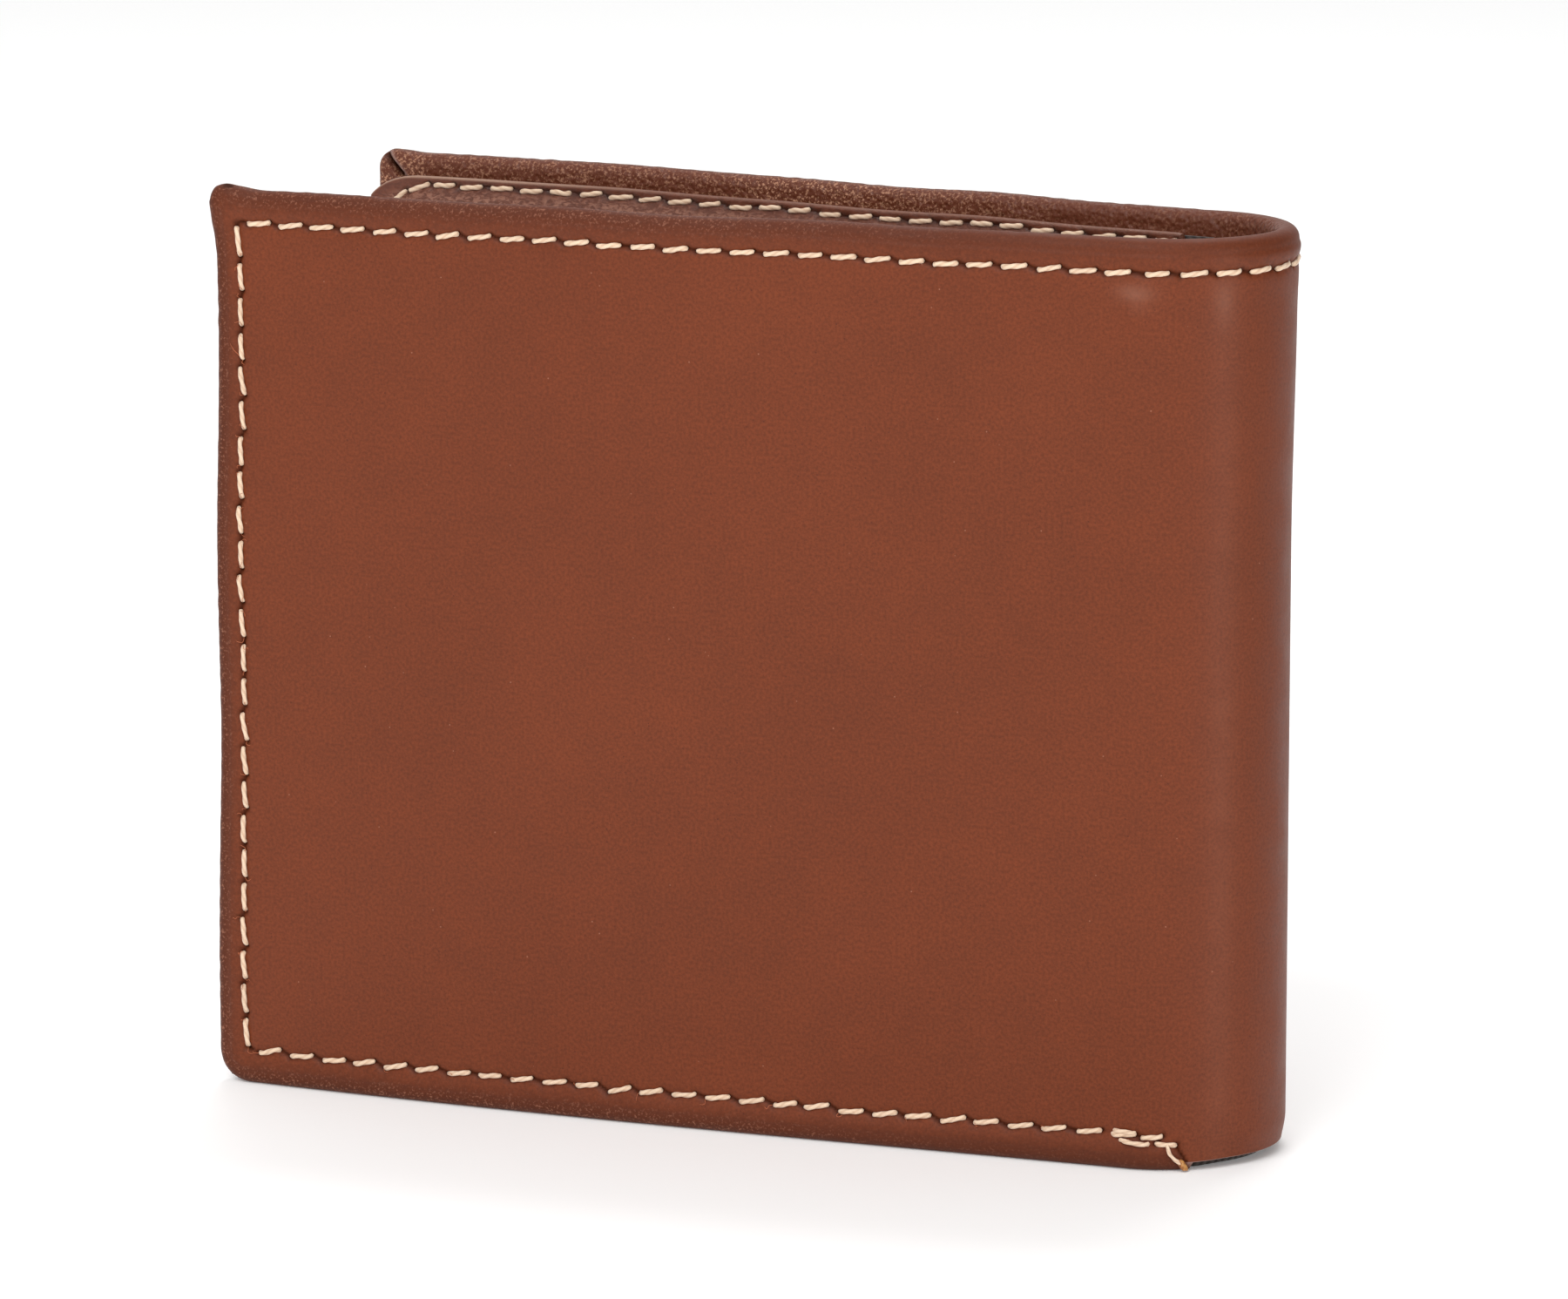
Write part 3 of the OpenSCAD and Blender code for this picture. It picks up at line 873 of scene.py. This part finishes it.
def spine_loop():
    """The spine leather's section as (height, depth, inset, kind) rows, with both hems."""
    face = [*np.arange(RIM_R, 5.4, 0.25), *np.arange(5.6, COVER_H - 6, 1.6)]
    face += [*np.arange(COVER_H - 6, COVER_H - RIM_R, 0.18)]
    cut_edge = [(HEM_W - 0.05, COVER_T), (HEM_W, COVER_T - 0.07), (HEM_W, LEATHER)]
    hem = [(d, COVER_T) for d in np.arange(RIM_R + 0.6, HEM_W - 0.2, 0.8)] + cut_edge
    foot = cut_edge[::-1] + [(d, COVER_T) for d in np.arange(HEM_W - 0.6, RIM_R + 0.2, -0.8)]
    rows = [(z, 0.0, min(z, COVER_H - z), "face") for z in face]
    rows += [(COVER_H - d, v, d, "rim") for d, v in RIM_ROUND]
    rows += [(COVER_H - d, v, d, "hem") for d, v in hem]
    rows += [(z, LEATHER, HEM_W, "back") for z in np.linspace(COVER_H - HEM_W - 4, HEM_W + 4, 16)]
    rows += [(d, v, d, "foot") for d, v in foot]
    rows += [(d, v, d, "foot_rim") for d, v in RIM_ROUND[:0:-1]]
    return rows


def bend_highlights(run, height):
    """Soft painted highlight patches under the top seam and down the most bent part of the leather."""
    patches = ((-0.6, 84.9, 1.8, 0.9, 0.24), (-9.3, 83.8, 1.1, 2.0, 0.18), (-9.6, 40.0, 1.6, 60.0, 0.07))
    mirror = [(-ARC - run_at, *rest) for run_at, *rest in patches]
    return sum(
        strength * bell((run - run_at) / wide, 1) * bell((height - height_at) / tall, 1)
        for run_at, height_at, wide, tall, strength in (*patches, *mirror)
    )


def hem_end(height):
    """Distance past the start of the bend at which the bottom hem is cut off, aslant."""
    return 5.3 + 0.65 * np.clip(2.5 - height, 0, 3)


def single_leather(height, depth, kind):
    """Where the spine's section lies past the end of the bottom hem, down to its cut edge."""
    foot = SPINE_LIFT + CUT_EDGE
    squeezed = foot + (height - RIM_R) * (HEM_W - foot) / (HEM_W - RIM_R)
    edge = foot - CUT_EDGE * (RIM_R - height) / RIM_R
    thin = kind == "foot_rim"
    return (
        np.where(thin, edge, np.where(height < HEM_W + 0.01, squeezed, height)),
        np.where(thin, depth * LEATHER / COVER_T, np.where(kind == "foot", LEATHER, depth)),
    )


def spine_leather(strip):
    """The leather of a quarter of the bend. The bottom hem ends there, and the cut edge is raised."""
    rows = spine_loop()
    columns = 37
    along = -np.linspace(strip * STRIP, (strip + 1) * STRIP, columns)
    run = np.repeat(along[None, :], len(rows), 0)
    height, depth, inset, kind = (np.repeat([[v] for v in values], columns, 1) for values in zip(*rows))
    past = np.minimum(-run, ARC + run)
    cut = smooth((past - hem_end(height)) / 0.28 + 0.5)
    thin = kind == "foot_rim"
    flat_height, flat_depth = single_leather(height, depth, kind)
    height = height + (flat_height - height) * cut
    depth = depth + (flat_depth - depth) * cut
    face = kind == "face"
    pressed, pit = press(run, height, SPINE_ROWS)
    swell = seam_swell(inset) * np.where(height < 20, 1 - cut, 1.0)
    # Where the bottom hem ends, the face sinks in a little along a painted shadow line
    line = bell(past - hem_end(height), 0.16) * smooth((2.9 - height) / 0.6)
    depth = depth + np.where(face, pressed - swell + 0.22 * line, 0.0)
    masks = {
        "rim": rim_mask(inset, depth) * np.where(height > 20, top_rim(run), 1 - cut) * (kind != "back"),
        "inside": np.where(face, 0.0, np.where(kind == "back", 1.0, smooth((depth - 0.9) / 1.0))),
        "pit": np.where(face, np.maximum(pit, 0.8 * line), 0.0),
        "raw": np.where(thin, 0.7 * cut, 0.0),
        "scuff_and_highlight": np.where(face, bend_highlights(run, height), 0.0),
        "glint_and_wear": glint_and_wear_share(run),
    }
    index = numbered(len(rows), columns)
    faces = quads(closed(index, 0)) + [index[:, 0].tolist(), index[:, -1].tolist()]
    name = f"spine_leather_{strip + 1}"
    return piece_at(name, "front", run, depth, height, faces, OUTER, masks)


# ---- Inner layers ----

def panel_top(reach, inset):
    """Height of the inner panel's top edge: level, then a swoop down at the free end."""
    past = np.clip(reach - (PANEL_END - SWOOP_RUN), 0, SWOOP_R - inset)
    return PANEL_TOP - SWOOP_R + np.sqrt(np.maximum((SWOOP_R - inset) ** 2 - past ** 2, 0))


crease_wave = ripples(31, 3.2, 12)


def bulge(reach, height):
    """How far the inner layers swell out below the seam, over what the pockets hold."""
    drop = panel_top(reach, 0.0) - PANEL_SEAM - height
    ends = smooth((reach - PANEL_START - 1) / 8) * smooth((PANEL_END - reach) / 7)
    fill = smooth(drop / 2.6) * smooth((height - 4) / 12)
    fill = fill + 1.1 * smooth(drop / 3.4) * smooth((height - 75.5) / 7)
    crease = 0.05 * crease_wave(reach * 0.6, height * 1.6) * smooth((drop - 0.8) / 2)
    return 0.75 * fill * ends + crease


def spread(*stretches):
    """Numbers along stretches of (start, end, count), each number once."""
    parts = [np.linspace(a, b, n, endpoint=False) for a, b, n in stretches]
    return np.concatenate(parts + [[stretches[-1][1]]])


def flat_grid(runs, heights):
    return np.meshgrid(spread(*runs), spread(*heights))


def inner_face(reach, height):
    """Depth of the innermost surface at a place: the panel, or the pockets over it."""
    layers = sum(height < top for top in POCKET_TOPS)
    return POCKET_V + POCKET_T * layers + bulge(reach, height)


def clear_of_lips(row):
    """The stitches of a row that cross no pocket's lip."""
    return [s for s in row if min(abs(s[1] - top) for top in POCKET_TOPS) > 1.5]


def inner_rows():
    """The seams on the inner panel: along its top and round the swoop, then down both sides."""
    seam = PANEL_TOP - PANEL_SEAM
    top = stitch_row((84.0, seam), (4.8, seam), 24, -6.0)
    swoop = [(92.5, seam - 1.5, math.radians(140), 2.3), (90.1, seam - 0.35, math.radians(160), 2.4)]
    swoop.append((87.2, seam, math.radians(176), 2.4))
    side_run = PANEL_END - 2.4
    down = stitch_row((side_run, 80.6), (side_run, 5.6), 22, -4.0)
    foot = stitch_row((90.6, BOTTOM_SEAM), (5.5, BOTTOM_SEAM), 25, -4.0)
    spine_side = stitch_row((PANEL_START + 1.0, 83.4), (PANEL_START + 1.0, 6.0), 23, -4.0)
    return [top, swoop, clear_of_lips(down), foot, clear_of_lips(spine_side)]


INNER_ROWS = {side: inner_rows() for side in SIDES}


def panel_grid(start, end, foot, inset, columns, share):
    """A grid under the inner panel's outline, drawn in by inset."""
    reach = spread(*columns)
    reach = start + inset + (reach - reach[0]) / (reach[-1] - reach[0]) * (end - start - 2 * inset)
    run, part = np.meshgrid(reach, share)
    top = panel_top(run, inset)
    return run, foot + inset + (top - foot - inset) * part


def inner_panel(side):
    edge = 0.32
    share = np.concatenate([np.linspace(0, 0.94, 24), 1 - np.linspace(0.055, 0, 24)])
    run, height = panel_grid(
        PANEL_START, PANEL_END, PANEL_FOOT, edge, [(3, 84, 270), (84, 96, 54)], share
    )
    pressed, _ = press(run, height, INNER_ROWS[side])
    high = POCKET_V + bulge(run, height) - pressed

    def raw(r, h, v):
        fade = 0.2 + 0.8 * smooth((r - 58) / 26)
        at_edge = smooth((h - panel_top(r, 0.0) + 0.24) / 0.16)
        return 0.85 * fade * at_edge * (v > PANEL_V + 0.2)

    # Painted shade in the needle holes
    def pit(r, h, v):
        return np.where(v > PANEL_V + 0.5, press(r, h, INNER_ROWS[side])[1], 0.0)

    # Painted highlight on the creased leather just below the seam
    def scuff_and_highlight(r, h, v):
        drop = panel_top(r, 0.0) - PANEL_SEAM - h
        return np.where(v > PANEL_V + 0.5, 0.65 * smooth(drop / 1.2) * smooth((7 - drop) / 7), 0.0)

    return slab(
        side + "_inner_leather_panel", side, run, height, PANEL_V, high, INNER,
        edge, 4, {"raw": raw, "pit": pit, "scuff_and_highlight": scuff_and_highlight},
    )


def card_pocket(side, number):
    """One of the overlapping pockets: a lip with a burnished line below it, over soft cards."""
    edge = 0.25
    top = POCKET_TOPS[number]
    low = POCKET_V + number * POCKET_T
    heights = [(PANEL_FOOT + edge, top - 4, 36), (top - 4, top - edge, 16)]
    run, height = flat_grid([(PANEL_START + edge, PANEL_END - edge, 150)], heights)
    groove = 0.12 * bell(height - top + 1.7, 0.28)
    swell = bulge(run, height)
    sag = 0.08 * smooth((run - 20) / 20) * smooth((80 - run) / 20) * smooth((height - top + 8) / 8)
    masks = {
        "raw": lambda r, h, v: 0.6 * smooth((h - top + 0.3) / 0.25),
        "pit": lambda r, h, v: 0.55 * bell(h - top + 1.7, 0.22) * (v > low + POCKET_T / 2),
        "scuff_and_highlight": lambda r, h, v: 0.3 * smooth((h - top + 1.4) / 1.2),
    }
    name = side + "_" + ("upper", "middle", "lower")[number] + "_pocket_leather"
    return slab(
        name, side, run, height, low + swell, low + POCKET_T + swell + sag - groove, INNER,
        edge, 3, masks,
    )


def cover_board(side):
    heights = [(HEM_W + 0.4, COVER_H - HEM_W - 0.4, 48)]
    run, height = flat_grid([(0.3, COVER_L - HEM_W - 0.4, 60)], heights)
    name = side + "_stiffening_board"
    return slab(name, side, run, height, LEATHER + 0.02, LEATHER + BOARD, BOARD_LOOK, 0.08, 2)


def cover_lining(side):
    heights = [(LINING_FOOT + 0.1, LINING_TOP - 0.1, 60)]
    run, height = flat_grid([(0.0, COVER_L - 3.1, 90)], heights)
    wave = 0.05 * ripples(41, 12)(run, height)
    low = LINING_V + 0.04 + np.maximum(wave, -0.02)
    name = side + "_note_lining"
    return slab(name, side, run, height, low, low + 0.22, LINING, 0.09, 2)


def divider_lining(side):
    """Lining on the inner panel's back, turned in along the free edge and the bottom."""
    inset = 0.3
    share = np.concatenate([np.linspace(0, 0.05, 8), np.linspace(0.07, 0.94, 30), np.linspace(0.95, 1, 10)])
    run, height = panel_grid(-inset, PANEL_END, PANEL_FOOT, 0.1 + inset, [(0, 90, 90), (90, 96, 24)], share)
    at_side = smooth((run - (PANEL_END - 3.4)) / 0.5) * smooth((PANEL_TOP - SWOOP_R - height) / 1)
    at_foot = smooth((PANEL_FOOT + 3.4 - height) / 0.5) * smooth((run - PANEL_START) / 0.5)
    turned = np.maximum(at_side, at_foot)
    low = DIVIDER_V - 0.5 * turned
    high = np.full(run.shape, PANEL_V - 0.03)
    name = side + "_panel_lining"
    return slab(name, side, run, height, low, high, LINING, 0.1, 2)


def bent_cloth(name, strip, depth, foot, top, flare=0.0):
    """A quarter of a lining's bend round the spine. Its lower edge may flare out behind the
    leather's raised edge, past the ends of the hems."""
    along = -np.linspace(strip * STRIP, (strip + 1) * STRIP, 25)
    heights = spread((foot + 0.1, 4.0, 14), (4.0, top - 0.1, 32))
    run, height = np.meshgrid(along, heights)
    past = smooth((np.minimum(-run, ARC + run) - 6.2) / 1.2)
    low = depth - flare * past * smooth((2.4 - height) / 2.0)
    return slab(name, "front", run, height, low, low + 0.24, LINING, 0.09, 2)


# ---- Building the wallet ----


def build_half(side):
    body = side + "_cover"

    def add(piece, *nodes):
        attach(piece, body)
        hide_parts(*(side + "_" + node for node in nodes))
        return piece

    add(cover_leather(side), "cover_leather")
    add(cover_board(side), "cover_board")
    add(cover_lining(side), "cover_lining")
    add(divider_lining(side), "divider_lining")
    add(inner_panel(side), "inner_panel")
    for number, node in enumerate(("upper_card_pocket", "middle_card_pocket", "lower_card_pocket")):
        add(card_pocket(side, number), node)
    add(stitching(side + "_outer_stitches", side, COVER_ROWS[side]), "outer_stitching")
    add(stitching(side + "_inner_stitches", side, INNER_ROWS[side], inner_face, -1.0), "inner_stitching")


def tack_threads(mirror):
    """The thread between the last stitches, and its tail down to the melted end."""
    between = [(0.35, 3.05, 0.1), (-0.2, 3.0, -0.3), (-1.2, 2.85, -0.42)]
    between += [(-2.2, 2.78, -0.4), (-2.7, 2.8, 0.0)]
    tail = [(-4.35, 2.75, -0.1), (-4.45, 2.4, -0.38), (-4.6, 1.9, -0.42)]
    tail += [(-5.1, 1.3, -0.36), (-5.8, 0.8, -0.2)]
    doubled = [(1.0, 3.85, 0.2), (0.6, 3.9, -0.1), (-0.2, 3.88, -0.16)]
    doubled += [(-0.9, 3.8, -0.08), (-1.3, 3.75, 0.25)]
    return [
        ([(-ARC - r if mirror else r, h, v) for r, h, v in path], radius)
        for path, radius in ((between, 0.24), (tail, 0.19), (doubled, 0.26))
    ]


def thread_bead(name, mirror):
    """The melted end of the thread, stuck to the cut end of the hem."""
    rings, sides = 14, 18
    around, polar = np.meshgrid(
        np.linspace(0, 2 * math.pi, sides, endpoint=False), np.linspace(0.02, math.pi - 0.02, rings)
    )
    size = 0.48 * (1 + 0.10 * np.sin(3 * around + 2 * polar) + 0.08 * np.sin(5 * polar))
    down = 1.5 * size * np.cos(polar)
    run = -5.85 - 0.75 * down
    height = 0.72 - 0.6 * down + size * np.sin(polar) * np.cos(around)
    depth = -0.05 + 0.8 * size * np.sin(polar) * np.sin(around)
    if mirror:
        run = -ARC - run
    return piece_at(name, "front", run, depth, height, tube_faces(rings, sides), BEAD)


def build_spine():
    nodes = ("spine_front", "spine_middle", "spine_back")
    for strip in range(HINGES):
        first, last = STRIP_BODIES[strip], STRIP_BODIES[strip + 1]
        stands_for = [n for n in (first, last) if n in nodes]
        turns = (strip * BEND / HINGES, (strip + 1) * BEND / HINGES)

        def bend(piece, part, innermost):
            start, end = (bend_point(turn, innermost, COVER_H / 2) for turn in turns)
            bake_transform(piece)
            if part:
                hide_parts(*(node + "_" + part for node in stands_for))
            return piece

        bend(spine_leather(strip), "leather", COVER_T)
        lining = bent_cloth(f"spine_note_lining_{strip + 1}", strip, LINING_V + 0.04, 0.06, LINING_TOP, 0.95)
        bend(lining, "lining", LINING_V + FABRIC)
        divider = bent_cloth(f"spine_panel_lining_{strip + 1}", strip, DIVIDER_V, 1.3, PANEL_TOP - 0.3)
        bend(divider, "divider", DIVIDER_V + FABRIC)
        near, far = -strip * STRIP, -(strip + 1) * STRIP
        row = [s for s in SPINE_STITCHES if far <= s[0] < near]
        rows, extra = [row], []
        if strip in (0, HINGES - 1):
            mirror = strip > 0
            rows.append(mirrored(TACK) if mirror else TACK)
            extra = tack_threads(mirror)
            end = "back" if mirror else "front"
            bend(thread_bead(end + "_thread_end", mirror), None, COVER_T)
        stitches = stitching(f"spine_stitches_{strip + 1}", "front", rows, extra=extra)
        bend(stitches, "stitching", COVER_T)


def fibres(side):
    """Short frayed fibres at the needle holes down the free edge, and one loose hair."""
    rng = np.random.default_rng(51)
    rings, sides = 9, 6
    points, faces = [], []
    starts = [stitch_ends(s)[k] for s in COVER_ROWS[side][1] for k in (0, 1)]
    starts += [stitch_ends(s)[0] for s in COVER_ROWS[side][2][::2]]
    curls = [(np.array(p), rng.uniform(0.35, 0.9), 0.028) for p in starts if rng.random() < 0.8]
    curls.append((stitch_ends(COVER_ROWS[side][1][3])[1], 2.1, 0.03))
    for start, length, radius in curls:
        heading = rng.uniform(0, 2 * math.pi) if length < 2 else math.radians(52)
        path = []
        for t in np.linspace(0, 1, 6):
            heading += rng.normal(0, 0.35 if length < 2 else 0.06)
            step = np.array([math.cos(heading), math.sin(heading)]) * length * t
            path.append((start[0] + step[0], start[1] + step[1], 0.15 - 0.42 * math.sin(2.4 * t)))
        faces += tube_faces(rings, sides, rings * sides * len(points))
        points.append(thread_tube(path, radius, 0.0, rings, sides, close=0.1)[0])
    run, height, depth = np.concatenate(points).T
    name = side + "_frayed_fibres"
    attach(piece_at(name, side, run, depth, height, faces, FIBRE, sharp=None), side + "_cover")


for side in SIDES:
    build_half(side)
    fibres(side)
build_spine()

# ---- Studio ----

def make_floor():
    half = 3.0
    mesh = bpy.data.meshes.new("studio_floor")
    corners = [(-half, -half, 0), (half, -half, 0), (half, half, 0), (-half, half, 0)]
    mesh.from_pydata(corners, [], [(0, 1, 2, 3)])
    mesh.materials.append(studio_floor())
    in_scene("studio_floor", mesh)


def aimed(name, data, azimuth, elevation, distance, target):
    """A light or the camera, placed round a target and turned to it."""
    obj = in_scene(name, data)
    obj.location = direction(azimuth, elevation) * distance + np.array(target)
    obj.rotation_euler = (Vector(target) - obj.location).to_track_quat("-Z", "Y").to_euler()
    return obj


def direction(azimuth, elevation):
    """From the wallet to a place round it. Azimuth 0 is in front of the front cover, 90 the spine."""
    a, e = math.radians(azimuth), math.radians(elevation)
    return np.array([math.sin(a) * math.cos(e), -math.cos(a) * math.cos(e), math.sin(e)])


def softbox(name, azimuth, elevation, distance, size, power):
    light = bpy.data.lights.new(name, "AREA")
    light.shape = "RECTANGLE"
    light.size, light.size_y = size
    light.energy = power
    aimed(name, light, azimuth, elevation, distance, (0, 0, 0.045))


def make_camera():
    """The photograph's view: from the front and the spine's side, a little above."""
    data = bpy.data.cameras.new("camera")
    data.lens = 203.5
    data.sensor_width = 36.0
    data.sensor_fit = "HORIZONTAL"
    target = (0.0002, 0.0, 0.0454)
    bpy.context.scene.camera = aimed("camera", data, 26.56, 10.32, 0.871, target)


def make_world(strength, screens):
    """Even soft light, with darker or lighter screens, each as (azimuth, elevation, width, change)."""
    world = bpy.data.worlds.new("studio_air")
    world.use_nodes = True
    tree = world.node_tree
    facing = new_node(tree, "TexCoord").outputs["Generated"]
    total = strength
    for azimuth, elevation, width, change in screens:
        inputs = {0: facing, 1: direction(azimuth, elevation)}
        dot = new_node(tree, "VectorMath", inputs, operation="DOT_PRODUCT").outputs["Value"]
        edge, full = (math.cos(math.radians(angle)) for angle in (width, width * 0.4))
        inputs = {"Value": dot, "From Min": edge, "From Max": full, "To Max": change}
        ramp = new_node(tree, "MapRange", inputs, interpolation_type="SMOOTHSTEP").outputs["Result"]
        total = new_node(tree, "Math", {0: ramp, 1: total}, operation="ADD").outputs[0]
    background = tree.nodes["Background"]
    background.inputs["Color"].default_value = (1.0, 1.0, 1.0, 1.0)
    tree.links.new(total, background.inputs["Strength"])
    bpy.context.scene.world = world


make_camera()
make_floor()
make_world(0.72, [(206, 0, 50, 0.35), (122, 5, 60, -0.6), (318, 5, 40, -0.45)])
softbox("key_softbox", 0, 42, 1.3, (0.8, 0.8), 9.0)
softbox("spine_softbox", 70, 2, 0.9, (0.12, 0.5), 2.0)
softbox("top_softbox", 195, 66, 1.2, (0.5, 0.3), 5.0)
bpy.context.scene.view_settings.view_transform = "Standard"
